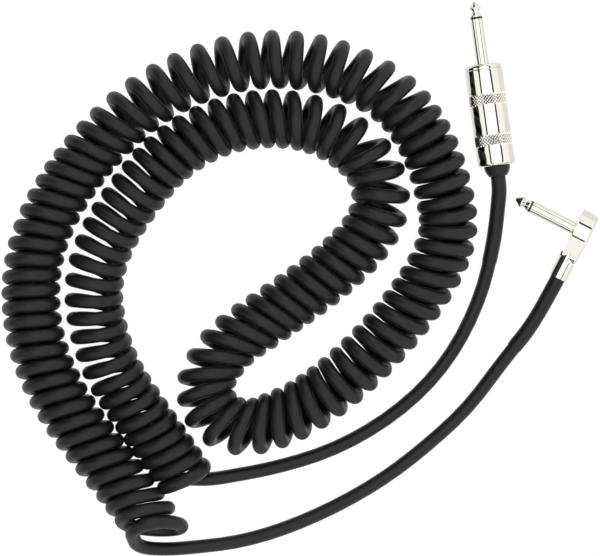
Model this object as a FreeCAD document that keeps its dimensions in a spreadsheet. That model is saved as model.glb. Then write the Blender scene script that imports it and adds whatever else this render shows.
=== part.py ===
import FreeCAD, Part
import math
import os
import Sketcher

# Coiled instrument cable: a straight 6.35 mm plug, a smooth lead, a curly middle, a second smooth
# lead and a flat right-angle plug, laid out on a level surface.
#
# Frame: millimetres, +Z up, the surface at Z = 0. The origin is on the surface, under the middle of
# the box round the two plugs. Each plug has a frame of its own: Z runs along the shaft from the
# point of the tip towards the cable.

doc = FreeCAD.newDocument("instrument_cable")

SIZES = {
    # where the plugs lie
    "straight_x": -28.7,
    "straight_y": 70.2,
    "straight_heading": -82.1,
    "angled_x": -7.8,
    "angled_y": -28.5,
    "angled_heading": -26.9,
    # tip contact and shaft, the same on both plugs
    "zero": 0.0,
    "nose_flat_radius": 0.55,
    "nose_radius": 3.05,
    "nose_front": 3.0,
    "nose_back": 3.4,
    "waist_radius": 1.95,
    "waist_front": 4.9,
    "waist_back": 5.4,
    "collar_radius": 2.9,
    "collar_front": 7.0,
    "contact_length": 7.7,
    "ring_thickness": 1.1,
    "ring_radius": 3.0,
    "shaft_radius": 3.175,
    "shaft_length": 31.75,
    "shaft_bore_radius": 1.6,
    "tube_radius": 1.55,
    "tube_bore_radius": 1.15,
    "rod_radius": 1.1,
    "rivet_radius": 1.7,
    "rivet_thickness": 0.6,
    # straight plug, inside
    "shoulder_radius": 9.3,
    "shoulder_thickness": 2.3,
    "shoulder_rounding": 1.7,
    "thread_radius": 8.0,
    "thread_length": 4.0,
    "boss_radius": 2.6,
    "boss_length": 1.2,
    "terminal_radius": 6.2,
    "terminal_thickness": 0.8,
    "terminal_clearance": 0.05,
    "strip_width": 5.0,
    "strip_offset": 0.1,
    "strip_length": 39.9,
    "clamp_length": 4.0,
    "clamp_gap": 5.0,
    "clamp_reach": 6.0,
    "washer_radius": 3.2,
    "washer_thickness": 0.8,
    "lug_radius": 2.8,
    "lug_thickness": 0.6,
    "lug_tab_width": 3.0,
    "lug_tab_length": 9.0,
    "lug_tab_offset": 2.2,
    "jacket_start": 73.0,
    "wire_gap": 0.1,
    "wire_lift": 0.15,
    "wire_radius": 0.9,
    "shield_radius": 0.7,
    "solder_radius": 1.5,
    # straight plug, barrel and what turns with it
    "barrel_gap": 0.1,
    "barrel_radius": 9.525,
    "barrel_end": 82.8,
    "barrel_thread_radius": 8.05,
    "barrel_thread_length": 7.0,
    "barrel_bore_radius": 8.4,
    "barrel_wall_front": 80.8,
    "barrel_mouth_radius": 6.4,
    "barrel_front_rounding": 0.4,
    "barrel_rear_rounding": 1.5,
    "liner_radius": 8.3,
    "liner_bore_radius": 7.6,
    "liner_front": 41.6,
    "liner_end": 78.0,
    "relief_radius": 6.5,
    "relief_neck_radius": 6.35,
    "relief_flange_radius": 8.1,
    "relief_front": 78.6,
    "relief_end": 88.2,
    "relief_bore_radius": 4.15,
    "relief_rounding": 2.2,
    "relief_slack": 0.1,
    # right-angle plug
    "head_radius": 11.0,
    "head_wall": 1.2,
    "head_floor": 1.3,
    "tongue_radius": 4.6,
    "tongue_centre": 11.8,
    "seam_height": 4.85,
    "seam_gap": 0.15,
    "cover_height": 4.6,
    "cover_roof": 1.1,
    "lip_outer_inset": 1.25,
    "lip_inner_inset": 1.95,
    "lip_length": 1.5,
    "housing_rounding": 1.2,
    "face_flat_radius": 4.4,
    "face_slope_drop": 0.9,
    "cover_rounding": 1.4,
    "neck_radius": 4.57,
    "neck_end": 26.0,
    "neck_bore_radius": 3.75,
    "neck_height": 4.75,
    "neck_split": 16.7,
    "sleeve_foot_radius": 2.95,
    "sleeve_lip_radius": 3.8,
    "sleeve_lip_thickness": 0.6,
    "angled_washer_radius": 3.4,
    "angled_washer_thickness": 0.6,
    "angled_lug_radius": 2.6,
    "angled_lug_thickness": 0.5,
    "angled_tab_width": 2.4,
    "angled_tab_length": 9.0,
    "disc_radius": 8.6,
    "disc_thickness": 0.5,
    "disc_drop": 0.5,
    "angled_jacket_start": 21.0,
    "angled_wire_radius": 0.7,
    "angled_shield_radius": 0.6,
    "angled_solder_radius": 1.2,
    # cable
    "cable_radius": 3.25,
    "coil_radius": 14.3,
    "shrink_inner_radius": 3.28,
    "straight_shrink_radius": 3.8,
    "straight_shrink_front": 5.3,
    "straight_shrink_end": 58.8,
    "angled_shrink_radius": 3.7,
    "angled_shrink_front": 0.5,
    "angled_shrink_end": 46.5,
}

sheet = doc.addObject("Spreadsheet::Sheet", "Sizes")
for row, (word, number) in enumerate(SIZES.items(), start=1):
    sheet.set(f"A{row}", word)
    sheet.set(f"B{row}", str(number))
    sheet.setAlias(f"B{row}", word)
doc.recompute()

# Centre lines of the cable, chosen by hand. The cable leaves the straight plug, comes down to the
# surface, runs in a wide bend to the coil's inner end, and leaves the coil's outer end for the
# right-angle plug. Points are the corners of straight runs; each corner is rounded by one arc.
STRAIGHT_LEAD = [
    (-18.7, -2.1, 9.525),
    (-15.4, -25.9, 9.525),
    (-18.6, -50.0, 6.8),
    (-24.8, -75.5, 3.4),
    (-36.8, -101.5, 3.3),
    (-53.8, -123.5, 3.3),
    (-76.8, -142.0, 3.3),
    (-102.8, -155.5, 3.3),
    (-129.8, -163.1, 3.3),
    (-147.8, -166.2, 3.3),
    (-161.8, -168.4, 3.3),
    (-171.8, -171.3, 3.3),
]
ANGLED_LEAD = [
    (15.25, -63.75, 11.0),
    (3.0, -87.8, 11.0),
    (-14.3, -109.1, 6.4),
    (-31.3, -132.5, 3.4),
    (-51.3, -150.9, 3.3),
    (-73.3, -168.1, 3.3),
    (-97.8, -182.3, 3.3),
    (-123.3, -193.5, 3.3),
    (-146.8, -200.3, 3.3),
    (-165.8, -202.7, 3.3),
    (-183.8, -202.7, 3.3),
    (-194.3, -199.3, 3.3),
]
COIL = [
    (-170.6, -171.8),
    (-183.4, -153.1),
    (-196.8, -134.0),
    (-210.3, -113.5),
    (-217.8, -90.5),
    (-219.3, -68.5),
    (-211.8, -46.0),
    (-195.8, -23.0),
    (-180.3, -5.5),
    (-156.8, 8.0),
    (-130.8, 12.5),
    (-105.8, 8.5),
    (-86.3, -4.0),
    (-75.8, -19.5),
    (-75.8, -37.0),
    (-87.3, -53.0),
    (-106.8, -69.5),
    (-130.8, -86.0),
    (-149.8, -98.5),
    (-160.3, -111.5),
    (-164.8, -124.3),
    (-160.8, -136.1),
    (-150.4, -142.4),
    (-136.3, -142.0),
    (-114.8, -133.0),
    (-90.8, -115.0),
    (-67.8, -91.0),
    (-50.3, -67.0),
    (-41.3, -45.5),
    (-44.3, -24.5),
    (-52.3, 0.0),
    (-66.8, 20.5),
    (-88.8, 34.0),
    (-114.8, 41.5),
    (-142.8, 41.0),
    (-169.8, 33.5),
    (-194.8, 20.0),
    (-218.8, -2.5),
    (-237.8, -28.0),
    (-249.3, -55.5),
    (-251.3, -83.5),
    (-245.8, -109.5),
    (-232.8, -134.5),
    (-216.3, -156.5),
    (-201.3, -176.0),
    (-186.8, -195.5),
]


def size(word):
    """One cell of the sheet, in millimetres."""
    return float(sheet.get(word))


def value(total):
    """A sum of cells, such as "shaft_length + head_floor - seam_gap", in millimetres."""
    sign, result = 1.0, 0.0
    for word in total.split():
        if word in "+-":
            sign = 1.0 if word == "+" else -1.0
        else:
            result += sign * size(word)
    return result


def formula(total):
    """The same sum, as an expression that reads the sheet."""
    return " ".join(word if word in "+-" else "Sizes." + word for word in total.split())


def bind(item, **properties):
    """Binds an object's properties to sums of cells."""
    for name, total in properties.items():
        item.setExpression(name, formula(total))


def origin_plane(body, role):
    return [plane for plane in body.Origin.OriginFeatures if plane.Role == role][0]


def new_sketch(body, role, offset="zero"):
    """A sketch on one of the body's own origin planes, moved along the plane's normal."""
    sketch = body.newObject("Sketcher::SketchObject", body.Name + "_sketch")
    sketch.AttachmentSupport = [(origin_plane(body, role), "")]
    sketch.MapMode = "FlatFace"
    sketch.setExpression(".AttachmentOffset.Base.z", formula(offset))
    return sketch


def named(item, label, place):
    item.Label = label
    item.Placement = place
    doc.recompute()
    return item


def revolved(label, place, outline):
    """A turned piece: outline is its closed half section, as (radius, distance along Z) sums."""
    body = doc.addObject("PartDesign::Body", label + "_body")
    sketch = new_sketch(body, "XZ_Plane")
    corners = [FreeCAD.Vector(value(radius), value(along), 0) for radius, along in outline]
    count = len(corners)
    for index in range(count):
        sketch.addGeometry(Part.LineSegment(corners[index], corners[(index + 1) % count]), False)
    for index in range(count):
        following = (index + 1) % count
        sketch.addConstraint(Sketcher.Constraint("Coincident", index, 2, following, 1))
    for index, (radius, along) in enumerate(outline):
        for direction, total in (("DistanceX", radius), ("DistanceY", along)):
            number = value(total)
            added = sketch.addConstraint(Sketcher.Constraint(direction, -1, 1, index, 1, number))
            sketch.setExpression(f"Constraints[{added}]", formula(total))
    turned = body.newObject("PartDesign::Revolution", label + "_revolution")
    turned.Profile = (sketch, [""])
    turned.ReferenceAxis = (sketch, ["V_Axis"])
    turned.Angle = 360
    body.Tip = turned
    doc.recompute()
    return named(body, label, place)


def round_rims(body, rims, rounding):
    """Rounds the body's circular edges that have the given (radius, distance along Z)."""
    base = body.Tip
    names = []
    for number, edge in enumerate(base.Shape.Edges, start=1):
        if not isinstance(edge.Curve, Part.Circle):
            continue
        for radius, along in rims:
            close_radius = abs(edge.Curve.Radius - value(radius)) < 0.001
            close_height = abs(edge.Curve.Center.z - value(along)) < 0.001
            if close_radius and close_height:
                names.append(f"Edge{number}")
    fillet = body.newObject("PartDesign::Fillet", body.Name + "_fillet_" + rounding)
    fillet.Base = (base, names)
    fillet.setExpression("Radius", formula(rounding))
    body.Tip = fillet
    doc.recompute()
    return body


def keyhole(name, inset, start, height, rounding=None, round_top=True):
    """A plate in the outline of the flat plug's head: a disc drawn out to a tongue along X."""
    body = doc.addObject("PartDesign::Body", name)
    sketch = new_sketch(body, "XY_Plane", start)
    disc = value("head_radius - " + inset)
    tongue = value("tongue_radius - " + inset)
    reach = size("tongue_centre")
    lean = math.acos((disc - tongue) / reach)
    up, right = FreeCAD.Vector(0, 0, 1), FreeCAD.Vector(reach, 0, 0)
    around = Part.Circle(FreeCAD.Vector(0, 0, 0), up, disc)
    across = Part.Circle(right, up, tongue)
    sketch.addGeometry(Part.ArcOfCircle(around, lean, 2 * math.pi - lean), False)
    sketch.addGeometry(Part.ArcOfCircle(across, -lean, lean), False)
    low = FreeCAD.Vector(math.cos(lean), -math.sin(lean), 0)
    high = FreeCAD.Vector(math.cos(lean), math.sin(lean), 0)
    sketch.addGeometry(Part.LineSegment(low * disc, right + low * tongue), False)
    sketch.addGeometry(Part.LineSegment(right + high * tongue, high * disc), False)
    sketch.addConstraint(Sketcher.Constraint("Coincident", 0, 3, -1, 1))
    sketch.addConstraint(Sketcher.Constraint("PointOnObject", 1, 3, -1))
    sketch.addConstraint(Sketcher.Constraint("Tangent", 0, 2, 2, 1))
    sketch.addConstraint(Sketcher.Constraint("Tangent", 2, 2, 1, 1))
    sketch.addConstraint(Sketcher.Constraint("Tangent", 1, 2, 3, 1))
    sketch.addConstraint(Sketcher.Constraint("Tangent", 3, 2, 0, 1))
    for constraint, total in (
        (Sketcher.Constraint("Radius", 0, disc), "head_radius - " + inset),
        (Sketcher.Constraint("Radius", 1, tongue), "tongue_radius - " + inset),
        (Sketcher.Constraint("DistanceX", -1, 1, 1, 3, reach), "tongue_centre"),
    ):
        added = sketch.addConstraint(constraint)
        sketch.setExpression(f"Constraints[{added}]", formula(total))
    pad = body.newObject("PartDesign::Pad", name + "_pad")
    pad.Profile = sketch
    bind(pad, Length=height)
    body.Tip = pad
    doc.recompute()
    if rounding:
        level = value(start + " + " + height) if round_top else value(start)
        names = []
        for number, edge in enumerate(pad.Shape.Edges, start=1):
            if all(abs(corner.Z - level) < 0.001 for corner in edge.Vertexes):
                names.append(f"Edge{number}")
        fillet = body.newObject("PartDesign::Fillet", name + "_fillet")
        fillet.Base = (pad, names)
        fillet.setExpression("Radius", formula(rounding))
        body.Tip = fillet
        doc.recompute()
    return body


def rod(name, radius, length, start=(0, 0, 0), direction=(0, 0, 1)):
    """A cylinder from a point along a direction, with its size bound to the sheet."""
    cylinder = doc.addObject("Part::Cylinder", name)
    bind(cylinder, Radius=radius, Height=length)
    turn = FreeCAD.Rotation(FreeCAD.Vector(0, 0, 1), FreeCAD.Vector(*direction))
    cylinder.Placement = FreeCAD.Placement(FreeCAD.Vector(*start), turn)
    return cylinder


def block(name, width, depth, height, corner):
    """A box from its lowest corner, with its size bound to the sheet."""
    box = doc.addObject("Part::Box", name)
    bind(box, Length=width, Width=depth, Height=height)
    box.Placement.Base = FreeCAD.Vector(*corner)
    return box


def fused(name, *pieces):
    union = doc.addObject("Part::MultiFuse", name)
    union.Shapes = list(pieces)
    return union


def cut(name, base, *tools):
    """Base without the tools."""
    result = doc.addObject("Part::Cut", name)
    result.Base = base
    result.Tool = tools[0] if len(tools) == 1 else fused(name + "_tools", *tools)
    return result


def feature(label, shape, place=FreeCAD.Placement()):
    """A piece whose shape is worked out in code, from the sheet's sizes."""
    item = doc.addObject("Part::Feature", label + "_feature")
    item.Shape = shape
    return named(item, label, place)


def rounded_path(name, points):
    """Straight runs joined by tangent arcs, each as large as the two runs beside it allow."""
    corners = [FreeCAD.Vector(*point) for point in points]
    edges, radii, here = [], [], corners[0]
    for before, corner, after in zip(corners, corners[1:], corners[2:]):
        back, ahead = before - corner, after - corner
        reach = 0.45 * min(back.Length, ahead.Length)
        turn = math.pi - back.getAngle(ahead)
        radii.append(reach / math.tan(turn / 2))
        back.normalize()
        ahead.normalize()
        first, last = corner + back * reach, corner + ahead * reach
        middle = (back + ahead).normalize()
        sink = radii[-1] / math.cos(turn / 2) - radii[-1]
        edges.append(Part.LineSegment(here, first).toShape())
        edges.append(Part.Arc(first, corner + middle * sink, last).toShape())
        here = last
    edges.append(Part.LineSegment(here, corners[-1]).toShape())
    path = Part.Wire(edges)
    print(f"{name}: length {path.Length:.1f} mm, arc radii", " ".join(f"{r:.0f}" for r in radii))
    return path


def stretch(path, start, end):
    """The part of a path between two distances along it."""
    kept, done = [], 0.0
    for edge in path.Edges:
        low, high = max(start - done, 0.0), min(end - done, edge.Length)
        if high - low > 0.001:
            first, last = edge.getParameterByLength(low), edge.getParameterByLength(high)
            kept.append(edge.Curve.toShape(first, last))
        done += edge.Length
    return Part.Wire(kept)


def tube(path, radius):
    """A solid round bar along a path."""
    first = path.Edges[0]
    direction = first.tangentAt(first.FirstParameter)
    ring = Part.Wire(Part.Circle(first.valueAt(first.FirstParameter), direction, radius).toShape())
    return path.makePipeShell([ring], True, False)


def cord(label, points, radius):
    """A plain tube along a route, with its volume checked against section times length."""
    path = rounded_path(label, points)
    shape = tube(path, size(radius))
    expected = math.pi * size(radius) ** 2 * path.Length
    print(f"{label}: volume {shape.Volume:.0f}, section times length {expected:.0f} mm3")
    return path, feature(label, shape)


def wire(label, points, radius, place):
    """A short bent wire inside a plug."""
    return feature(label, tube(rounded_path(label, points), size(radius)), place)


def solder(label, centre, radius, place, *neighbours):
    """A drop of solder, hollowed by the pieces that it joins."""
    drop = Part.makeSphere(size(radius), FreeCAD.Vector(*centre))
    for neighbour in neighbours:
        local = neighbour.Shape.copy()
        local.transformShape(place.inverse().toMatrix())
        drop = drop.cut(local)
    largest = max(drop.Solids, key=lambda solid: solid.Volume)
    return feature(label, largest, place)


def plug_place(corner, heading, sideways):
    """Lays a plug's frame down: Z along the heading, X up or to the side that is asked for."""
    angle = math.radians(heading)
    along = FreeCAD.Vector(math.cos(angle), math.sin(angle), 0)
    up = FreeCAD.Vector(0, 0, 1)
    first = along.cross(up) if sideways else up
    return FreeCAD.Placement(corner, FreeCAD.Rotation(first, along.cross(first), along, "ZXY"))


def shaft_end(prefix, place, rod_end):
    """The tip contact with its rod, the black ring and the insulating tube round the rod."""
    rivet = rod_end + " + rivet_thickness"
    contact = revolved(prefix + "_tip_contact", place, [
        ("zero", "zero"),
        ("nose_flat_radius", "zero"),
        ("nose_radius", "nose_front"),
        ("nose_radius", "nose_back"),
        ("waist_radius", "waist_front"),
        ("waist_radius", "waist_back"),
        ("collar_radius", "collar_front"),
        ("collar_radius", "contact_length"),
        ("rod_radius", "contact_length"),
        ("rod_radius", rod_end),
        ("rivet_radius", rod_end),
        ("rivet_radius", rivet),
        ("zero", rivet),
    ])
    ring = revolved(prefix + "_tip_insulator", place, [
        ("rod_radius", "contact_length"),
        ("ring_radius", "contact_length"),
        ("ring_radius", "contact_length + ring_thickness"),
        ("rod_radius", "contact_length + ring_thickness"),
    ])
    return contact, ring


def insulating_tube(prefix, place, end):
    return revolved(prefix + "_rod_tube", place, [
        ("tube_bore_radius", "contact_length + ring_thickness"),
        ("tube_radius", "contact_length + ring_thickness"),
        ("tube_radius", end),
        ("tube_bore_radius", end),
    ])


def washer(label, place, radius, bore, start, thickness):
    end = start + " + " + thickness
    return revolved(label, place, [(bore, start), (radius, start), (radius, end), (bore, end)])


def straight_plug(place):
    """Everything on the straight plug apart from the cable. Returns its pieces."""
    ring_end = "contact_length + ring_thickness"
    shoulder = "shaft_length + shoulder_thickness"
    thread_end = shoulder + " + thread_length"
    boss_end = thread_end + " + boss_length"
    lug_start = boss_end + " + washer_thickness"
    rod_end = lug_start + " + lug_thickness"
    pieces = list(shaft_end("straight", place, rod_end))
    pieces.append(insulating_tube("straight", place, boss_end))
    sleeve = revolved("straight_sleeve", place, [
        ("shaft_bore_radius", ring_end),
        ("shaft_radius", ring_end),
        ("shaft_radius", "shaft_length"),
        ("shoulder_radius", "shaft_length"),
        ("shoulder_radius", shoulder),
        ("thread_radius", shoulder),
        ("thread_radius", thread_end),
        ("boss_radius", thread_end),
        ("boss_radius", boss_end),
        ("shaft_bore_radius", boss_end),
    ])
    round_rims(sleeve, [("shoulder_radius", "shaft_length")], "shoulder_rounding")
    pieces.append(sleeve)
    pieces.append(washer("straight_rear_washer", place, "washer_radius", "tube_bore_radius",
                         boss_end, "washer_thickness"))
    terminal = ground_terminal(place, value(thread_end))
    lug = tip_lug("straight", place, value(lug_start))
    pieces += [terminal, lug]
    core_side = value("lug_tab_offset + lug_thickness + wire_lift + wire_radius")
    jacket = value("jacket_start - wire_gap")
    core = wire("straight_core_wire", [
        (0.9, 0, jacket),
        (0.9, 0, jacket - 8),
        (core_side, 0, jacket - 18),
        (core_side, 0, jacket - 28),
    ], "wire_radius", place)
    shield_side = -size("cable_radius") + size("shield_radius")
    shield = wire("straight_shield_twist", [
        (-1.5, 0, jacket),
        (-1.5, 0, jacket - 4),
        (shield_side, 0, jacket - 9),
        (shield_side, 0, jacket - 14),
    ], "shield_radius", place)
    pieces += [core, shield]
    pieces.append(solder("straight_tip_solder", (core_side - 0.4, 0, jacket - 26),
                         "solder_radius", place, lug, core))
    pieces.append(solder("straight_ground_solder", (shield_side + 0.2, 0, jacket - 12),
                         "solder_radius", place, terminal, shield))
    pieces += barrel_group(place, shoulder)
    return pieces


def ground_terminal(place, start):
    """A ring riveted on the thread's end, a strip beside the wires and a clamp round the cable."""
    thickness = size("terminal_thickness")
    ring = rod("terminal_ring", "terminal_radius", "terminal_thickness", (0, 0, start))
    side = -size("cable_radius") - size("strip_offset") - thickness
    strip = block("terminal_strip", "terminal_thickness", "strip_width", "strip_length",
                  (side, -size("strip_width") / 2, start))
    clamp_start = start + size("strip_length") - size("clamp_length")
    clamp = rod("terminal_clamp", "cable_radius + terminal_thickness", "clamp_length",
                (0, 0, clamp_start))
    hole = rod("terminal_hole", "boss_radius + terminal_clearance", "thread_length",
               (0, 0, start - 1))
    seat = rod("terminal_seat", "shrink_inner_radius", "strip_length", (0, 0, start + 2))
    opening = block("terminal_opening", "clamp_reach", "clamp_gap", "clamp_length",
                    (0, -size("clamp_gap") / 2, clamp_start))
    whole = fused("terminal_blank", ring, strip, clamp)
    return named(cut("terminal", whole, hole, seat, opening), "straight_ground_terminal", place)


def tip_lug(prefix, place, start):
    """A ring under the rod's rivet, with a tab that the core wire is soldered to."""
    ring = rod(prefix + "_lug_ring", "lug_radius", "lug_thickness", (0, 0, start))
    tab = block(prefix + "_lug_tab", "lug_thickness", "lug_tab_width", "lug_tab_length",
                (size("lug_tab_offset"), -size("lug_tab_width") / 2, start))
    hole = rod(prefix + "_lug_hole", "rod_radius", "lug_tab_length", (0, 0, start - 1))
    whole = fused(prefix + "_lug_blank", ring, tab)
    return named(cut(prefix + "_lug", whole, hole), prefix + "_tip_lug", place)


def barrel_group(place, shoulder):
    """The barrel, its insulating liner and the rubber strain relief in its rear wall."""
    front = shoulder + " + barrel_gap"
    thread_end = front + " + barrel_thread_length"
    barrel = revolved("straight_barrel", place, [
        ("barrel_thread_radius", front),
        ("barrel_radius", front),
        ("barrel_radius", "barrel_end"),
        ("barrel_mouth_radius", "barrel_end"),
        ("barrel_mouth_radius", "barrel_wall_front"),
        ("barrel_bore_radius", "barrel_wall_front"),
        ("barrel_bore_radius", thread_end),
        ("barrel_thread_radius", thread_end),
    ])
    round_rims(barrel, [("barrel_radius", front)], "barrel_front_rounding")
    round_rims(barrel, [("barrel_radius", "barrel_end")], "barrel_rear_rounding")
    liner = revolved("straight_barrel_liner", place, [
        ("liner_bore_radius", "liner_front"),
        ("liner_radius", "liner_front"),
        ("liner_radius", "liner_end"),
        ("liner_bore_radius", "liner_end"),
    ])
    relief = revolved("straight_strain_relief", place, [
        ("relief_bore_radius", "relief_front"),
        ("relief_flange_radius", "relief_front"),
        ("relief_flange_radius", "barrel_wall_front - relief_slack"),
        ("relief_neck_radius", "barrel_wall_front - relief_slack"),
        ("relief_neck_radius", "barrel_end"),
        ("relief_radius", "barrel_end"),
        ("relief_radius", "relief_end"),
        ("relief_bore_radius", "relief_end"),
    ])
    round_rims(relief, [("relief_radius", "relief_end")], "relief_rounding")
    return [barrel, liner, relief]


def angled_plug(place):
    """Everything on the right-angle plug apart from the cable. Returns its pieces."""
    ring_end = "contact_length + ring_thickness"
    floor = "shaft_length + head_floor"
    lip_end = floor + " + sleeve_lip_thickness"
    lug_start = lip_end + " + angled_washer_thickness"
    rod_end = lug_start + " + angled_lug_thickness"
    pieces = list(shaft_end("angled", place, rod_end))
    pieces.append(insulating_tube("angled", place, lip_end))
    pieces.append(revolved("angled_sleeve", place, [
        ("shaft_bore_radius", ring_end),
        ("shaft_radius", ring_end),
        ("shaft_radius", "shaft_length"),
        ("sleeve_foot_radius", "shaft_length"),
        ("sleeve_foot_radius", floor),
        ("sleeve_lip_radius", floor),
        ("sleeve_lip_radius", lip_end),
        ("shaft_bore_radius", lip_end),
    ]))
    pieces.append(washer("angled_rear_washer", place, "angled_washer_radius", "tube_bore_radius",
                         lip_end, "angled_washer_thickness"))
    lug_level = value(lug_start)
    ring = rod("angled_lug_ring", "angled_lug_radius", "angled_lug_thickness", (0, 0, lug_level))
    tab = block("angled_lug_tab", "angled_tab_length", "angled_tab_width", "angled_lug_thickness",
                (0, -size("angled_tab_width") / 2, lug_level))
    hole = rod("angled_lug_hole", "rod_radius", "thread_length", (0, 0, lug_level - 1))
    lug = named(cut("angled_lug", fused("angled_lug_blank", ring, tab), hole),
                "angled_tip_lug", place)
    housing = head_housing(place)
    pieces += [lug, housing, head_cover(place)]
    axis_level = value("shaft_length + neck_height")
    jacket = value("angled_jacket_start - wire_gap")
    core_level = value(rod_end + " + wire_lift + angled_wire_radius")
    core = wire("angled_core_wire", [
        (jacket, 0.9, axis_level),
        (jacket - 4, 0.9, axis_level),
        (jacket - 9, 0, core_level),
        (jacket - 14, 0, core_level),
    ], "angled_wire_radius", place)
    floor_level = value(floor + " + wire_lift + angled_shield_radius")
    shield = wire("angled_shield_twist", [
        (jacket, -1.4, axis_level),
        (jacket - 3, -1.5, axis_level - 0.4),
        (jacket - 7.5, -1.9, axis_level - 2.1),
        (jacket - 12.5, -3.9, floor_level),
    ], "angled_shield_radius", place)
    pieces += [core, shield]
    pieces.append(solder("angled_tip_solder", (jacket - 12, 0, core_level), "angled_solder_radius",
                         place, lug, core))
    pieces.append(solder("angled_ground_solder", (jacket - 11.5, -3.6, floor_level),
                         "angled_solder_radius", place, housing, shield))
    disc_level = value("shaft_length + seam_height + cover_height - cover_roof - disc_drop")
    disc = rod("cover_disc", "disc_radius", "disc_thickness", (0, 0, disc_level))
    pieces.append(named(disc, "angled_insulating_disc", place * disc.Placement))
    return pieces


def head_housing(place):
    """The round cup, its face falling to the rim, drawn out to the neck for the cable."""
    centre_level = value("shaft_length + neck_height")
    seam = value("shaft_length + seam_height")
    cup = keyhole("housing_cup", "zero", "shaft_length", "seam_height - seam_gap",
                  "housing_rounding", round_top=False)
    slope_ring = revolved("housing_face_slope", FreeCAD.Placement(), [
        ("face_flat_radius", "shaft_length"),
        ("head_radius", "shaft_length + face_slope_drop"),
        ("head_radius + tongue_radius", "shaft_length + face_slope_drop"),
        ("head_radius + tongue_radius", "shaft_length - face_slope_drop"),
        ("face_flat_radius", "shaft_length - face_slope_drop"),
    ])
    rib = block("housing_rib", "neck_end", "tongue_radius + tongue_radius", "seam_height",
                (0, -size("tongue_radius"), size("shaft_length") - 1))
    slope = cut("housing_slope", slope_ring, rib)
    hollow = keyhole("housing_hollow", "head_wall", "shaft_length + head_floor", "seam_height")
    neck = rod("housing_neck", "neck_radius", "neck_end - tongue_centre",
               (size("tongue_centre"), 0, centre_level), (1, 0, 0))
    bore = rod("housing_bore", "neck_bore_radius", "neck_end",
               (size("tongue_centre") - 3, 0, centre_level), (1, 0, 0))
    half = block("housing_half", "neck_split", "head_radius + head_radius", "seam_height",
                 (0, -size("head_radius"), seam - size("seam_gap")))
    shaft_hole = rod("housing_shaft_hole", "sleeve_foot_radius", "seam_height",
                     (0, 0, size("shaft_length") - 1))
    shell = fused("housing_blank", cup, neck)
    housing = cut("housing", shell, hollow, bore, half, shaft_hole, slope)
    return named(housing, "angled_housing", place)


def head_cover(place):
    """The press-on cap, of the same outline as the cup, with a notch over the cable."""
    centre_level = value("shaft_length + neck_height")
    cap = keyhole("cover_cap", "zero", "shaft_length + seam_height", "cover_height",
                  "cover_rounding")
    lip = keyhole("cover_lip", "lip_outer_inset", "shaft_length + seam_height - lip_length",
                  "lip_length + cover_roof")
    hollow = keyhole("cover_hollow", "lip_inner_inset", "shaft_length + head_floor",
                     "seam_height + cover_height - cover_roof - head_floor")
    notch = rod("cover_notch", "neck_bore_radius", "neck_end",
                (size("tongue_centre") - 3, 0, centre_level), (1, 0, 0))
    blank = fused("cover_blank", cap, lip)
    return named(cut("cover", blank, hollow, notch), "angled_cover", place)


def shrink_sleeve(label, path, radius, front, end):
    """A heat-shrink sleeve round the first stretch of a lead."""
    line = stretch(path, size(front), size(end))
    outer, inner = tube(line, size(radius)), tube(line, size("shrink_inner_radius"))
    return feature(label, outer.cut(inner))


straight_place = plug_place(
    FreeCAD.Vector(size("straight_x"), size("straight_y"), size("barrel_radius")),
    size("straight_heading"), sideways=False)
angled_place = plug_place(
    FreeCAD.Vector(size("angled_x"), size("angled_y"), size("head_radius")),
    size("angled_heading"), sideways=True)

parts = straight_plug(straight_place) + angled_plug(angled_place)
straight_path, straight_lead = cord("straight_lead", STRAIGHT_LEAD, "cable_radius")
angled_path, angled_lead = cord("angled_lead", ANGLED_LEAD, "cable_radius")
coil_points = [(x, y, size("coil_radius")) for x, y in COIL]
coil_path, coil = cord("coiled_cable", coil_points, "coil_radius")
parts += [straight_lead, angled_lead, coil]
parts.append(shrink_sleeve("straight_heat_shrink", straight_path, "straight_shrink_radius",
                           "straight_shrink_front", "straight_shrink_end"))
parts.append(shrink_sleeve("angled_heat_shrink", angled_path, "angled_shrink_radius",
                           "angled_shrink_front", "angled_shrink_end"))
doc.recompute()

failed = [item.Name for item in doc.Objects if {"Invalid", "Error"} & set(item.State)]
failed += [part.Label for part in parts if part.Shape.isNull() or not part.Shape.isValid()]
if failed:
    raise SystemExit(f"these pieces failed: {failed}")
os.makedirs("parts", exist_ok=True)
for part in parts:
    part.Shape.exportStep(f"parts/{part.Label}.step")
print(f"{len(parts)} pieces written")
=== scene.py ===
import math

import bmesh
import bpy
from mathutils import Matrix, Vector


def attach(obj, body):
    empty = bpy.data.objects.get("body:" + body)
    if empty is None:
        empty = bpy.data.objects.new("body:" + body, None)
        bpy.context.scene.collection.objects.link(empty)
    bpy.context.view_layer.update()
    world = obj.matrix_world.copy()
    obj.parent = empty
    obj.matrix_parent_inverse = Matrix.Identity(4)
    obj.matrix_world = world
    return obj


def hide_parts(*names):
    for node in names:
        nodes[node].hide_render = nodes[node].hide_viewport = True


# The looks of a coiled instrument cable. Lengths are in metres, and Z is up.

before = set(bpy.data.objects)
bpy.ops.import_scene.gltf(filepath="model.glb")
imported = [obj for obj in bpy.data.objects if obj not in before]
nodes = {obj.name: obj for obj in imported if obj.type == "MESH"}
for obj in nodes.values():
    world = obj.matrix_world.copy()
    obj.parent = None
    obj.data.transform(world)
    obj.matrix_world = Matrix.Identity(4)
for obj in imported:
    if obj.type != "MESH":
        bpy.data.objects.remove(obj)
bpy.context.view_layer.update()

MM = 0.001
CABLE_DIAMETER = 0.0065
# The jacket's thickness over its nominal diameter, and what it gains over the outer turn's points.
JACKET_SWELL = 1.06
OUTER_END_SWELL = 0.06
OUTER_END_POINTS = 24

# ---------------------------------------------------------------------------------------------
# The cable's route. The coil's centre line runs from the inner end, where the straight plug's
# lead comes in, to the outer end, where the right-angle plug's lead leaves.

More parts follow.
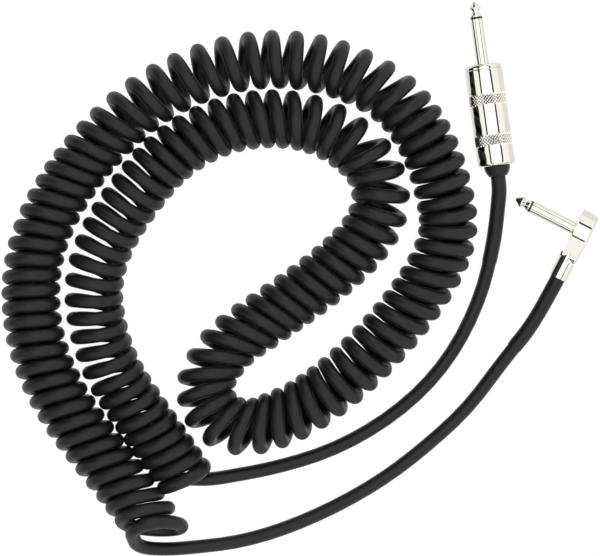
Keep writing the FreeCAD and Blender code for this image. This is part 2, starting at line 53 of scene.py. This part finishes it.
STRAIGHT_LEAD = [
    (-0.0187, -0.0021, 0.0095),
    (-0.0159, -0.0219, 0.0095),
    (-0.0164, -0.0290, 0.0093),
    (-0.0187, -0.0502, 0.0069),
    (-0.0245, -0.0758, 0.0036),
    (-0.0365, -0.1018, 0.0035),
    (-0.0535, -0.1238, 0.0035),
    (-0.0766, -0.1423, 0.0035),
    (-0.1026, -0.1558, 0.0035),
    (-0.1296, -0.1635, 0.0035),
    (-0.1476, -0.1668, 0.0035),
    (-0.1616, -0.1692, 0.0036),
]
ANGLED_LEAD = [
    (0.01525, -0.06375, 0.0110),
    (0.0032, -0.0880, 0.0110),
    (-0.0140, -0.1094, 0.0065),
    (-0.0310, -0.1328, 0.0036),
    (-0.0510, -0.1512, 0.0035),
    (-0.0730, -0.1684, 0.0035),
    (-0.0976, -0.1826, 0.0035),
    (-0.1232, -0.1938, 0.0035),
    (-0.1468, -0.2006, 0.0035),
    (-0.1698, -0.2031, 0.0035),
    (-0.1810, -0.2040, 0.0036),
    (-0.1925, -0.2036, 0.0052),
    (-0.1978, -0.2012, 0.0100),
]
COIL = [
    (-0.1706, -0.1718),
    (-0.1834, -0.1531),
    (-0.1968, -0.1340),
    (-0.2103, -0.1135),
    (-0.2178, -0.0905),
    (-0.2193, -0.0685),
    (-0.2118, -0.0460),
    (-0.1958, -0.0230),
    (-0.1803, -0.0055),
    (-0.1568, 0.0080),
    (-0.1308, 0.0125),
    (-0.1058, 0.0087),
    (-0.0861, -0.0038),
    (-0.0756, -0.0195),
    (-0.0758, -0.0370),
    (-0.0870, -0.0534),
    (-0.1064, -0.0700),
    (-0.1303, -0.0866),
    (-0.1491, -0.0992),
    (-0.1594, -0.1119),
    (-0.1638, -0.1240),
    (-0.1600, -0.1352),
    (-0.1499, -0.1414),
    (-0.1361, -0.1418),
    (-0.1145, -0.1334),
    (-0.0904, -0.1154),
    (-0.0673, -0.0913),
    (-0.0498, -0.0672),
    (-0.0407, -0.0455),
    (-0.0437, -0.0243),
    (-0.0518, 0.0003),
    (-0.0664, 0.0208),
    (-0.0887, 0.0341),
    (-0.1148, 0.0413),
    (-0.1427, 0.0409),
    (-0.1696, 0.0333),
    (-0.1946, 0.0198),
    (-0.2186, -0.0026),
    (-0.2375, -0.0281),
    (-0.2490, -0.0556),
    (-0.2508, -0.0835),
    (-0.2452, -0.1094),
    (-0.2324, -0.1343),
    (-0.2155, -0.1565),
    (-0.2001, -0.1762),
    (-0.1865, -0.1952),
]

# How the turns lie along the coil: where some of its top strands cross the centre line, as the
# strand's number and its distance from the coil's inner end in millimetres.
TURNS = 125.75
POINTS_PER_TURN = 16
TURN_RADIUS = 0.0114
AXIS_HEIGHT = 0.0150
STRANDS = [
    (0.5, 0), (1, 4), (5, 33), (9, 63), (14, 105), (18, 139.5), (20, 155.5), (23, 180.5),
    (24, 188), (26, 205), (28, 222.5), (31, 248), (33, 266), (35, 286.5), (36, 297.5),
    (39, 328), (41, 344.5), (42, 352), (46, 383.5), (49, 407), (51, 424.5), (53, 444),
    (55, 461.5), (56, 471), (58, 490), (60, 508), (63, 534.5), (66, 561), (70, 595), (72, 612),
    (74, 628), (76, 643), (78, 660), (80, 677), (82, 694), (83, 703), (84, 714), (87, 745),
    (90, 776.5), (93, 811), (95, 833), (97, 853.5), (99, 871), (102, 893.5), (105, 917.5),
    (108, 941.5), (112, 972), (116, 1003.5), (120, 1035.5), (123, 1059.5), (124, 1067),
    (125, 1074.5), (126, 1082), (126.25, 1083.5),
]
# How far ahead the right end of a top strand lies of its left end, by distance.
SLANT = [
    (4, -3), (20, -3), (50, -1.5), (60, 0), (85, 0), (105, 0), (130, 1.5), (145, 2.5), (175, 3),
    (190, 4.5), (200, 6), (257, 6.5), (266, 4), (287, 1.5), (295, -3.5), (312, -3.5),
    (325, 1.5), (335, 4.5), (343, 6), (365, 7), (390, 9), (403, 12), (411, 14),
    (422, 15), (442, 15), (450, 12), (457, 5), (464, -1), (472, -6.5), (485, -8), (497, -6.5),
    (510, -5), (520, -1.5), (530, 1), (550, 3.5), (565, 5), (587, 7), (605, 9),
    (614, 8), (620, 5), (627, 3), (637, 2.2), (672, 2.2), (680, 1.5), (687, 0),
    (695, -1.5), (720, -1.5), (732, 2.5), (753, 2.5), (765, 4), (775, 4), (785, 4.5), (796, 5.5),
    (830, 5.5), (840, 6), (850, 7.5), (860, 8.2), (872, 8.2), (880, 8.8), (887, 8.3), (900, 7.5),
    (915, 6), (925, 5.5), (940, 4.2), (954, 2), (960, 0.5), (968, -1), (975, -2.7), (990, -4),
    (1005, -5), (1017, -6), (1030, -7.5), (1060, -7.5), (1072, -8.5), (1085, -11),
]
# How far ahead a turn's top lies of its axis, by distance.
TILT = [
    (0, -2), (165, -2), (200, 0), (450, 0), (510, -1), (665, -1), (700, 0.8), (750, 0.8),
    (775, 0.3), (860, 0.3), (900, 0), (1045, -0.5), (1067, -2.3), (1075, -3.2), (1082, -6.4),
]


def nurbs_curve(name, points, resolution):
    """A curve object of one open spline that a route's points control, and its spline."""
    data = bpy.data.curves.new(name, "CURVE")
    data.dimensions = "3D"
    data.resolution_u = resolution
    spline = data.splines.new("NURBS")
    spline.points.add(len(points) - 1)
    for control, point in zip(spline.points, points):
        control.co = (*point, 1)
    spline.order_u = 3
    spline.use_endpoint_u = True
    curve = bpy.data.objects.new(name, data)
    bpy.context.scene.collection.objects.link(curve)
    return curve, spline


def smooth_line(points, resolution=12):
    """Points along the smooth curve that a route's points control."""
    holder, _ = nurbs_curve("route", points, resolution)
    data = holder.data
    bpy.context.view_layer.update()
    graph = bpy.context.evaluated_depsgraph_get()
    mesh = bpy.data.meshes.new_from_object(holder.evaluated_get(graph))
    line = [vertex.co.copy() for vertex in mesh.vertices]
    bpy.data.objects.remove(holder)
    bpy.data.curves.remove(data)
    bpy.data.meshes.remove(mesh)
    return line


def lookup(table, place):
    """The value at a place in a table of (place, value) pairs, straight between them."""
    if place <= table[0][0]:
        return table[0][1]
    for (low, first), (high, last) in zip(table, table[1:]):
        if place <= high:
            return first + (last - first) * (place - low) / (high - low)
    return table[-1][1]


def distances_along(line, unit=1.0):
    """How far along a line each of its points is, in the given unit."""
    distances = [0.0]
    for a, b in zip(line, line[1:]):
        distances.append(distances[-1] + (b - a).length / unit)
    return distances


def wound_turns(line):
    """The coil's turns along its centre line, right-handed, starting under it."""
    # The spline cuts inside its points, so the points stand a little further out.
    radius = TURN_RADIUS / math.cos(math.pi / POINTS_PER_TURN)
    distances = distances_along(line)
    points = []
    piece = 0
    for step in range(round(TURNS * POINTS_PER_TURN) + 1):
        turn = step / POINTS_PER_TURN
        top_distance = lookup(STRANDS, turn + 0.5)
        pitch = lookup(STRANDS, turn + 1) - lookup(STRANDS, turn)
        tilt = lookup(TILT, top_distance)
        distance = (top_distance - tilt) * MM
        while distances[piece + 1] < distance and piece < len(line) - 2:
            piece += 1
        a, b = line[piece], line[piece + 1]
        here = a.lerp(b, (distance - distances[piece]) / (b - a).length)
        ahead = (b - a).normalized()
        right = Vector((ahead.y, -ahead.x, 0)).normalized()
        slant = (lookup(SLANT, top_distance) - pitch / 2) / 2
        angle = 2 * math.pi * turn - math.pi / 2
        shift = (tilt * math.sin(angle) - slant * math.cos(angle)) * MM
        point = here - right * (radius * math.cos(angle)) + ahead * shift
        points.append(point + Vector((0, 0, radius * math.sin(angle))))
    return points


def make_cord(name, points, swells, diameter):
    """The cable: one open curve with round sides and closed ends."""
    cord, spline = nurbs_curve(name, points, resolution=3)
    # Each point's radius is in metres, because a curve's bounding box grows by that number.
    cord.data.bevel_depth = 1.0
    cord.data.bevel_resolution = 6
    cord.data.use_fill_caps = True
    for control, swell in zip(spline.points, swells):
        control.radius = diameter / 2 * swell
    spline.use_smooth = True
    return cord


coil_line = smooth_line([(x, y, AXIS_HEIGHT) for x, y in COIL])
route = [Vector(point) for point in STRAIGHT_LEAD] + wound_turns(coil_line)
route += [Vector(point) for point in reversed(ANGLED_LEAD)]
swells = [JACKET_SWELL] * len(route)
for i in range(OUTER_END_POINTS):
    gain = OUTER_END_SWELL * (1 - i / OUTER_END_POINTS)
    swells[len(route) - len(ANGLED_LEAD) - i] = JACKET_SWELL + gain

cable = make_cord("cable", route, swells, CABLE_DIAMETER)
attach(cable, "cable")
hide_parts("straight_lead", "coiled_cable", "angled_lead")


# ---------------------------------------------------------------------------------------------
# Round pieces that the cable's plugs carry


def finished_mesh(name, bm, sharp_angle=0.6):
    """A mesh object with outward normals; edges that bend by more than sharp_angle are sharp."""
    bmesh.ops.recalc_face_normals(bm, faces=bm.faces)
    for edge in bm.edges:
        edge.smooth = len(edge.link_faces) == 2 and edge.calc_face_angle() < sharp_angle
    data = bpy.data.meshes.new(name)
    bm.to_mesh(data)
    bm.free()
    piece = bpy.data.objects.new(name, data)
    bpy.context.scene.collection.objects.link(piece)
    return piece


def closed_rings(bm, rings):
    """Joins rings of vertices with smooth faces, each to the next and the last to the first."""
    for ring, following in zip(rings, rings[1:] + rings[:1]):
        count = len(ring)
        for i in range(count):
            j = (i + 1) % count
            face = bm.faces.new((ring[i], ring[j], following[j], following[i]))
            face.smooth = True


def arc_points(centre_radius, centre_along, radius, start, end, count=6):
    """(radius, distance along the axis) points on an arc whose angles are in degrees."""
    points = []
    for i in range(count + 1):
        angle = math.radians(start + (end - start) * i / count)
        points.append((centre_radius + radius * math.cos(angle),
                       centre_along + radius * math.sin(angle)))
    return points


# The straight plug's axis, from its tip towards the cable, with distances in millimetres.
PLUG_TIP = Vector((-0.0287, 0.0702, 0.009525))
PLUG_HEADING = math.radians(-82.1)
PLUG_AXIS = Vector((math.cos(PLUG_HEADING), math.sin(PLUG_HEADING), 0))
PLUG_SIDE = Vector((-PLUG_AXIS.y, PLUG_AXIS.x, 0))


def plug_point(radius, along, angle):
    """A point round the straight plug's axis."""
    side = PLUG_SIDE * math.cos(angle) + Vector((0, 0, 1)) * math.sin(angle)
    return PLUG_TIP + (PLUG_AXIS * along + side * radius) * MM


def plug_ring(bm, radius, along, columns):
    """A ring of vertices round the straight plug's axis."""
    return [bm.verts.new(plug_point(radius, along, 2 * math.pi * i / columns))
            for i in range(columns)]


BARREL_FRONT, BARREL_END = 34.15, 82.8
BARREL_RADIUS = 9.525
FRONT_ROUNDING = 0.4
REAR_ROUNDING = 1.5
# The barrel's inside, from the hole in its rear wall to the thread's bore in front.
REAR_HOLE_RADIUS = 6.4
REAR_HOLE_BEVEL = 0.2
REAR_WALL_FRONT = 80.8
INNER_RADIUS = 8.4
THREAD_END = 41.25
THREAD_RADIUS = 8.05
THREAD_RUNOUT = 0.1
THREAD_BEVEL = 0.15

KNURL_COLUMNS = 68
KNURL_ROWS = 7
KNURL_DEPTH = 0.42
KNURL_BANDS = [(46.5, 52.4), (67.0, 72.9)]
KNURL_EDGE = 0.12


def knurl_rings(bm, start, end):
    """Rings whose corners stand up and sink in turn, with a diamond at each raised corner; the
    sunk corners carry painted shade.
    """
    groove_shade = bm.verts.layers.float["groove_shade"]
    rings = []
    for row in range(KNURL_ROWS + 1):
        along = start + (end - start) * row / KNURL_ROWS
        ring = []
        for column in range(KNURL_COLUMNS):
            raised = (row + column) % 2 == 0 and 0 < row < KNURL_ROWS
            radius = BARREL_RADIUS if raised else BARREL_RADIUS - KNURL_DEPTH
            angle = 2 * math.pi * column / KNURL_COLUMNS
            vertex = bm.verts.new(plug_point(radius, along, angle))
            # Painted shade: sunk corners inside the band get 1 in this layer, which the knurl's
            # material turns dark.
            vertex[groove_shade] = 0.0 if raised or row in (0, KNURL_ROWS) else 1.0
            ring.append(vertex)
        rings.append(ring)
    return rings


def make_barrel():
    """The barrel, with its thread's bore in front, its rear wall and two diamond knurls."""
    bm = bmesh.new()
    # A vertex layer of painted shade that darkens the knurls' valleys.
    bm.verts.layers.float.new("groove_shade")
    front = arc_points(BARREL_RADIUS - FRONT_ROUNDING, BARREL_FRONT + FRONT_ROUNDING,
                       FRONT_ROUNDING, -90, 0, 4)
    rear = arc_points(BARREL_RADIUS - REAR_ROUNDING, BARREL_END - REAR_ROUNDING,
                      REAR_ROUNDING, 0, 90, 8)
    inside = [
        (REAR_HOLE_RADIUS + REAR_HOLE_BEVEL, BARREL_END),
        (REAR_HOLE_RADIUS, BARREL_END - REAR_HOLE_BEVEL),
        (REAR_HOLE_RADIUS, REAR_WALL_FRONT),
        (INNER_RADIUS, REAR_WALL_FRONT),
        (INNER_RADIUS, THREAD_END),
        (THREAD_RADIUS, THREAD_END - THREAD_RUNOUT),
        (THREAD_RADIUS, BARREL_FRONT + THREAD_BEVEL),
        (THREAD_RADIUS + THREAD_BEVEL, BARREL_FRONT),
    ]
    rings = [plug_ring(bm, radius, along, KNURL_COLUMNS) for radius, along in front]
    parity = {}
    for start, stop in KNURL_BANDS:
        rings.append(plug_ring(bm, BARREL_RADIUS, start - KNURL_EDGE, KNURL_COLUMNS))
        band = knurl_rings(bm, start, stop)
        for row, ring in enumerate(band):
            for column, vertex in enumerate(ring):
                parity[vertex] = (row + column) % 2
        rings += band
        rings.append(plug_ring(bm, BARREL_RADIUS, stop + KNURL_EDGE, KNURL_COLUMNS))
    rings += [plug_ring(bm, radius, along, KNURL_COLUMNS) for radius, along in rear + inside]
    closed_rings(bm, rings)
    # Each square of a knurl is cut between its low corners, which leaves the raised ones sharp.
    for face in [f for f in bm.faces if all(v in parity for v in f.verts)]:
        low = [vertex for vertex in face.verts if parity[vertex]]
        bmesh.utils.face_split(face, low[0], low[1])
    for face in bm.faces:
        if all(vertex in parity for vertex in face.verts):
            face.smooth = False
            face.material_index = 1
    return finished_mesh("knurled_barrel", bm)


RELIEF_BORE_RADIUS = 4.25
FLANGE_FRONT, FLANGE_BACK = 78.6, 80.7
FLANGE_RADIUS = 8.1
FLANGE_BEVEL = 0.2
COLLAR_RADIUS = 6.35
BOWL_FRONT = 82.85
BOWL_RADIUS = 6.5
# The bowl is an ellipsoid of this depth, cut off where it meets the sleeve.
BOWL_DEPTH = 7.0
BOWL_CUT = 0.74
BOWL_STEPS = 12
RELIEF_BACK = 88.1
BORE_BEVEL_WIDTH, BORE_BEVEL_DEPTH = 0.05, 0.2
RELIEF_COLUMNS = 72


def make_relief():
    """The rubber cup: a flange inside the barrel's rear wall and a rounded bowl behind it."""
    bm = bmesh.new()
    profile = [
        (RELIEF_BORE_RADIUS, FLANGE_FRONT),
        (FLANGE_RADIUS - FLANGE_BEVEL, FLANGE_FRONT),
        (FLANGE_RADIUS, FLANGE_FRONT + FLANGE_BEVEL),
        (FLANGE_RADIUS, FLANGE_BACK),
        (COLLAR_RADIUS, FLANGE_BACK),
        (COLLAR_RADIUS, BOWL_FRONT),
    ]
    for i in range(BOWL_STEPS + 1):
        share = BOWL_CUT * i / BOWL_STEPS
        profile.append((BOWL_RADIUS * math.sqrt(1 - share ** 2), BOWL_FRONT + BOWL_DEPTH * share))
    profile.append((RELIEF_BORE_RADIUS + BORE_BEVEL_WIDTH, RELIEF_BACK))
    profile.append((RELIEF_BORE_RADIUS, RELIEF_BACK - BORE_BEVEL_DEPTH))
    closed_rings(bm, [plug_ring(bm, radius, along, RELIEF_COLUMNS) for radius, along in profile])
    return finished_mesh("relief_bowl", bm)


SLEEVE_WALL = 0.32
SLEEVE_COLUMNS = 40
SLEEVE_ROW_SPACING = 1.2
SLEEVE_END_ROUNDING = 0.16
SLEEVE_END_LENGTH = 1.5


def make_sleeve(name, line, front, end, radius, ripples):
    """A shrunk sleeve on a lead: a thin tube with soft ends, never quite even.

    It reaches from front to end along the line, in millimetres. Each ripple is its wavelength
    along the sleeve, its number of waves round it and its size.
    """
    distances = distances_along(line, MM)
    rows = round((end - front) / SLEEVE_ROW_SPACING)
    outer, inner = [], []
    bm = bmesh.new()
    for row in range(rows + 1):
        along = front + (end - front) * row / rows
        piece = max(i for i in range(len(line) - 1) if distances[i] <= along)
        a, b = line[piece], line[piece + 1]
        here = a.lerp(b, (along - distances[piece]) / (distances[piece + 1] - distances[piece]))
        before, after = line[max(0, piece - 2)], line[min(len(line) - 1, piece + 3)]
        ahead = (after - before).normalized()
        side = Vector((-ahead.y, ahead.x, 0)).normalized()
        up = ahead.cross(side)
        gap = min(along - front, end - along)
        soft = SLEEVE_END_ROUNDING * max(0.0, 1 - gap / SLEEVE_END_LENGTH) ** 2
        outer_ring, inner_ring = [], []
        for column in range(SLEEVE_COLUMNS):
            turn = 2 * math.pi * column / SLEEVE_COLUMNS
            swell = 0.0
            for wavelength, waves_round, size in ripples:
                swell += size * math.sin(along / wavelength + waves_round * turn)
            direction = side * math.cos(turn) + up * math.sin(turn)
            reach = radius - soft + swell
            outer_ring.append(bm.verts.new(here + direction * reach * MM))
            inner_ring.append(bm.verts.new(here + direction * (radius - SLEEVE_WALL) * MM))
        outer.append(outer_ring)
        inner.append(inner_ring)
    closed_rings(bm, outer + inner[::-1])
    return finished_mesh(name, bm, sharp_angle=1.0)


barrel = make_barrel()
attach(barrel, "barrel")
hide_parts("straight_barrel")

relief = make_relief()
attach(relief, "barrel")
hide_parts("straight_strain_relief")

straight_sleeve = make_sleeve("straight_sleeve_shrunk", smooth_line(STRAIGHT_LEAD), 5.3, 58.8,
                              3.76, [(3.1, 2, 0.025), (5.7, 1, 0.03), (2.3, 3, 0.015)])
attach(straight_sleeve, "cable")
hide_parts("straight_heat_shrink")

angled_sleeve = make_sleeve("angled_sleeve_shrunk", smooth_line(ANGLED_LEAD), 0.5, 46.5,
                            3.75, [(3.7, 1, 0.04), (5.1, 2, 0.03), (2.6, 3, 0.02)])
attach(angled_sleeve, "cable")
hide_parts("angled_heat_shrink")


# ---------------------------------------------------------------------------------------------
# Materials


def node_of(tree, kind, settings=(), **values):
    """A new shader node with its settings and the numbers of its sockets."""
    node = tree.nodes.new(kind)
    for name, setting in settings:
        setattr(node, name, setting)
    for socket, number in values.items():
        node.inputs[socket.replace("_", " ")].default_value = number
    return node


def noise(tree, coordinates, scale, detail=3.0, stretch=(1, 1, 1)):
    """Noise of a given scale per metre, its pattern stretched along the axes."""
    mapping = node_of(tree, "ShaderNodeMapping", Scale=stretch)
    tree.links.new(coordinates, mapping.inputs["Vector"])
    grain = node_of(tree, "ShaderNodeTexNoise", Scale=scale, Detail=detail)
    tree.links.new(mapping.outputs["Vector"], grain.inputs["Vector"])
    return grain.outputs["Fac"]


def ramp_to(tree, fac, low, high, start=0.3, end=0.7):
    """A range from low to high as the factor goes from start to end; numbers or colours."""
    if isinstance(low, tuple):
        mix = node_of(tree, "ShaderNodeValToRGB")
        first, last = mix.color_ramp.elements
        first.position, last.position = start, end
        first.color, last.color = (*low, 1), (*high, 1)
        tree.links.new(fac, mix.inputs["Fac"])
        return mix.outputs["Color"]
    spread = node_of(tree, "ShaderNodeMapRange")
    for socket, number in zip(("From Min", "From Max", "To Min", "To Max"),
                              (start, end, low, high)):
        spread.inputs[socket].default_value = number
    tree.links.new(fac, spread.inputs["Value"])
    return spread.outputs["Result"]


def new_material(name, metallic=0.0, **more):
    """A Principled material with object coordinates, and its tree, shader and coordinates."""
    material = bpy.data.materials.new(name)
    material.use_nodes = True
    tree = material.node_tree
    shader = tree.nodes["Principled BSDF"]
    shader.inputs["Metallic"].default_value = metallic
    for socket, number in more.items():
        shader.inputs[socket.replace("_", " ")].default_value = number
    coordinates = node_of(tree, "ShaderNodeTexCoord").outputs["Object"]
    return material, tree, shader, coordinates


def add_bump(tree, shader, heights, strength, distance):
    """Raises the surface by the sum of the heights, each times its weight, in metres."""
    total = None
    for height, weight in heights:
        scaled = node_of(tree, "ShaderNodeMath", [("operation", "MULTIPLY")])
        scaled.inputs[1].default_value = weight
        tree.links.new(height, scaled.inputs[0])
        if total is None:
            total = scaled.outputs[0]
            continue
        joined = node_of(tree, "ShaderNodeMath", [("operation", "ADD")])
        tree.links.new(total, joined.inputs[0])
        tree.links.new(scaled.outputs[0], joined.inputs[1])
        total = joined.outputs[0]
    bump = node_of(tree, "ShaderNodeBump", Strength=strength, Distance=distance)
    tree.links.new(total, bump.inputs["Height"])
    tree.links.new(bump.outputs["Normal"], shader.inputs["Normal"])


def plastic(name, dark, light, rough, grain, depth, cloud=90, **more):
    """A moulded or drawn plastic: a slow drift of shade and gloss over a fine grain."""
    material, tree, shader, where = new_material(name, **more)
    drift = noise(tree, where, cloud)
    fine = noise(tree, where, grain, detail=4.0)
    tree.links.new(ramp_to(tree, drift, dark, light), shader.inputs["Base Color"])
    tree.links.new(ramp_to(tree, drift, *rough), shader.inputs["Roughness"])
    add_bump(tree, shader, [(fine, 1.0), (drift, 2.0)], 0.6, depth)
    return material


def metal(name, dark, light, rough, scratch, depth, stretch=(1, 1, 1), cloud=140):
    """A plated or bare metal: faint clouds in its colour and gloss, and fine scratches."""
    material, tree, shader, where = new_material(name, metallic=1.0)
    drift = noise(tree, where, cloud)
    marks = noise(tree, where, scratch, detail=5.0, stretch=stretch)
    tree.links.new(ramp_to(tree, drift, dark, light), shader.inputs["Base Color"])
    tree.links.new(ramp_to(tree, marks, *rough), shader.inputs["Roughness"])
    add_bump(tree, shader, [(marks, 1.0)], 0.4, depth)
    return material


def paint(material, *names):
    """Gives CAD nodes a material."""
    for name in names:
        node = nodes[name]
        node.data.materials.clear()
        node.data.materials.append(material)


pvc = plastic("pvc_jacket", (0.0062, 0.0062, 0.0064), (0.0084, 0.0084, 0.0086), (0.40, 0.48),
              1800, 0.00004, Specular_IOR_Level=0.3)
shrink = plastic("heat_shrink", (0.0066, 0.0066, 0.0068), (0.0088, 0.0088, 0.009), (0.36, 0.46),
                 900, 0.00005, Specular_IOR_Level=0.28)
rubber = plastic("relief_rubber", (0.007, 0.007, 0.007), (0.010, 0.010, 0.010), (0.42, 0.55),
                 2200, 0.00004, Specular_IOR_Level=0.3)
ring_black = plastic("ring_black", (0.008, 0.008, 0.008), (0.011, 0.011, 0.011), (0.18, 0.28),
                     1500, 0.00001)
white_plastic = plastic("inner_plastic", (0.62, 0.62, 0.59), (0.70, 0.70, 0.67), (0.25, 0.38),
                        800, 0.00002)
insulation = plastic("core_insulation", (0.70, 0.70, 0.66), (0.80, 0.80, 0.77), (0.35, 0.5),
                     1200, 0.00002)
fibre = plastic("fibre_washer", (0.13, 0.055, 0.02), (0.24, 0.12, 0.055), (0.55, 0.8),
                2500, 0.00005, cloud=700)
nickel = metal("nickel", (0.665, 0.645, 0.585), (0.69, 0.67, 0.61), (0.03, 0.055), 500,
               0.000001, stretch=(1, 6, 1))
knurl_nickel_painted_shade = metal("knurl_nickel_painted_shade", (0.60, 0.58, 0.54), (0.68, 0.66, 0.61), (0.10, 0.18), 3000,
                     0.00001)
knurl_tree = knurl_nickel_painted_shade.node_tree
# Painted shade: the knurl's colour falls from light nickel to near black where the layer marks a
# valley.
groove_shade_attribute = node_of(knurl_tree, "ShaderNodeAttribute", [("attribute_name", "groove_shade")])
knurl_painted_shade = ramp_to(knurl_tree, groove_shade_attribute.outputs["Fac"], (0.90, 0.88, 0.83), (0.20, 0.19, 0.17),
                     0.45, 1.0)
knurl_tree.links.new(knurl_painted_shade, knurl_tree.nodes["Principled BSDF"].inputs["Base Color"])
tinned = metal("tinned_steel", (0.50, 0.50, 0.48), (0.62, 0.62, 0.60), (0.25, 0.42), 1500,
               0.00002)
copper = metal("copper_strands", (0.55, 0.24, 0.13), (0.80, 0.42, 0.25), (0.25, 0.4), 2500,
               0.00006, stretch=(4, 1, 1), cloud=1500)
solder = metal("solder", (0.45, 0.45, 0.46), (0.62, 0.62, 0.63), (0.16, 0.34), 900, 0.00005,
               cloud=600)

cable.data.materials.append(pvc)
barrel.data.materials.append(nickel)
barrel.data.materials.append(knurl_nickel_painted_shade)
relief.data.materials.append(rubber)
straight_sleeve.data.materials.append(shrink)
angled_sleeve.data.materials.append(shrink)
for prefix in ("straight", "angled"):
    paint(nickel, f"{prefix}_tip_contact", f"{prefix}_sleeve")
    paint(ring_black, f"{prefix}_tip_insulator")
    paint(white_plastic, f"{prefix}_rod_tube")
    paint(fibre, f"{prefix}_rear_washer")
    paint(tinned, f"{prefix}_tip_lug")
    paint(insulation, f"{prefix}_core_wire")
    paint(copper, f"{prefix}_shield_twist")
    paint(solder, f"{prefix}_tip_solder", f"{prefix}_ground_solder")
    paint(shrink, f"{prefix}_heat_shrink")
paint(nickel, "angled_housing", "angled_cover", "straight_barrel")
paint(tinned, "straight_ground_terminal")
paint(white_plastic, "straight_barrel_liner")
paint(fibre, "angled_insulating_disc")
paint(rubber, "straight_strain_relief")
paint(pvc, "straight_lead", "coiled_cable", "angled_lead")


# ---------------------------------------------------------------------------------------------
# Floor, light and camera

FLOOR_REACH = 6
FLOOR_SHADE = 0.1
FLOOR_GLOW = 0.965
floor_mesh = bpy.data.meshes.new("floor")
floor_corners = [(x * FLOOR_REACH, y * FLOOR_REACH, 0)
                 for x, y in ((-1, -1), (1, -1), (1, 1), (-1, 1))]
floor_mesh.from_pydata(floor_corners, [], [(0, 1, 2, 3)])
floor = bpy.data.objects.new("floor", floor_mesh)
bpy.context.scene.collection.objects.link(floor)
floor_material, _, floor_shader, _ = new_material("floor_white", Roughness=0.9)
floor_shader.inputs["Base Color"].default_value = (FLOOR_SHADE, FLOOR_SHADE, FLOOR_SHADE, 1)
floor_shader.inputs["Specular IOR Level"].default_value = 0.0
floor_shader.inputs["Emission Color"].default_value = (1, 1, 1, 1)
floor_shader.inputs["Emission Strength"].default_value = FLOOR_GLOW
floor_mesh.materials.append(floor_material)

world = bpy.data.worlds.new("studio")
bpy.context.scene.world = world
world.use_nodes = True
background = world.node_tree.nodes["Background"]
background.inputs["Strength"].default_value = 1.0
coordinates = world.node_tree.nodes.new("ShaderNodeTexCoord")
separate = world.node_tree.nodes.new("ShaderNodeSeparateXYZ")
link = world.node_tree.links.new


def world_math(operation, *terms):
    """A Math node of the world; each term is a socket or a number."""
    node = world.node_tree.nodes.new("ShaderNodeMath")
    node.operation = operation
    for slot, term in enumerate(terms):
        if isinstance(term, (int, float)):
            node.inputs[slot].default_value = term
        else:
            link(term, node.inputs[slot])
    return node.outputs[0]


# How bright the surroundings are by the angle from overhead, in degrees: the west is negative and
# the east positive. The bands bend towards overhead in the north and the south.
BANDS = [
    (-90, 0.06), (-69, 0.06), (-68, 1.35), (-39, 1.4), (-37.5, 0.02), (-30, 0.02), (-28.5, 1.7),
    (33, 1.7), (34.5, 0.03), (43, 0.03), (44.5, 1.4), (75, 1.35), (90, 1.3),
]
BEND = 2.2
# A dark card stands low in the north-west, its directions in degrees from the east.
CARD_AZIMUTH, CARD_HALF_WIDTH = 145, 24
CARD_TOP = 0.86
CARD_DARKNESS = 0.95

link(coordinates.outputs["Generated"], separate.inputs[0])
east, north, height = separate.outputs
outward = world_math("SQRT", world_math("SUBTRACT", 1.0, world_math("MULTIPLY", height, height)))
sideways = world_math("MINIMUM", world_math("MULTIPLY", east, BEND), outward)
sideways = world_math("MAXIMUM", sideways, world_math("MULTIPLY", outward, -1.0))
angle = world_math("ARCTAN2", sideways, height)
spread = world.node_tree.nodes.new("ShaderNodeMapRange")
spread.inputs["From Min"].default_value = -math.pi / 2
spread.inputs["From Max"].default_value = math.pi / 2
link(angle, spread.inputs["Value"])
ramp = world.node_tree.nodes.new("ShaderNodeValToRGB")
link(spread.outputs["Result"], ramp.inputs["Fac"])
stops = ramp.color_ramp.elements
stops.remove(stops[1])
for index, (degrees, level) in enumerate(BANDS):
    stop = stops.new((degrees + 90) / 180) if index else stops[0]
    stop.position = (degrees + 90) / 180
    stop.color = (level, level, level, 1)

heading = world_math("ARCTAN2", north, east)
card = world_math("COMPARE", heading, math.radians(CARD_AZIMUTH), math.radians(CARD_HALF_WIDTH))
below_top = world_math("LESS_THAN", height, CARD_TOP)
card = world_math("MULTIPLY", card, below_top)
light_left = world_math("SUBTRACT", 1.0, world_math("MULTIPLY", card, CARD_DARKNESS))
shaded = world.node_tree.nodes.new("ShaderNodeVectorMath")
shaded.operation = "SCALE"
link(ramp.outputs["Color"], shaded.inputs[0])
link(light_left, shaded.inputs["Scale"])
link(shaded.outputs[0], background.inputs["Color"])

CAMERA_PLACE = (-0.1158, -0.0680, 2.4)
SENSOR_WIDTH = 36
# The view is this wide at the height of the coil's middle.
VIEW_WIDTH = 0.3
VIEW_HEIGHT = 0.011
camera_data = bpy.data.cameras.new("camera")
camera = bpy.data.objects.new("camera", camera_data)
bpy.context.scene.collection.objects.link(camera)
bpy.context.scene.camera = camera
camera.location = CAMERA_PLACE
camera_data.sensor_width = SENSOR_WIDTH
camera_data.lens = SENSOR_WIDTH * (CAMERA_PLACE[2] - VIEW_HEIGHT) / VIEW_WIDTH
bpy.context.scene.view_settings.view_transform = "Standard"
